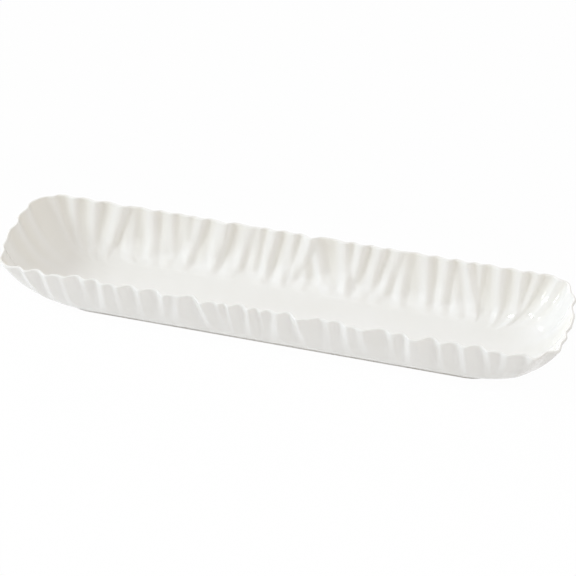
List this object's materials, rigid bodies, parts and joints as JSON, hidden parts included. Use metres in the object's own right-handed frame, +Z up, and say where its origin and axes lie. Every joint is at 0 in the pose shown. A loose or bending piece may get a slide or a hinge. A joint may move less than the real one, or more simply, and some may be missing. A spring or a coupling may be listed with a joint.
{
  "type": "cracker tray",
  "caption": "Long, narrow glazed porcelain tray with a flat floor, pleated flaring walls, a scalloped rim and a low foot ring, for serving crackers in a row.",
  "frame": {"origin": "on the table, under the middle of the tray", "axes": "+X along the tray's length, +Y across it, +Z up"},
  "size_m": [0.38, 0.092, 0.04],
  "materials": {
    "glazed_porcelain": "clear gloss glaze over warm white porcelain, bare matt biscuit on the foot ring"
  },
  "bodies": {
    "root": {"tray_body": "glazed_porcelain"}
  },
  "joints": []
}
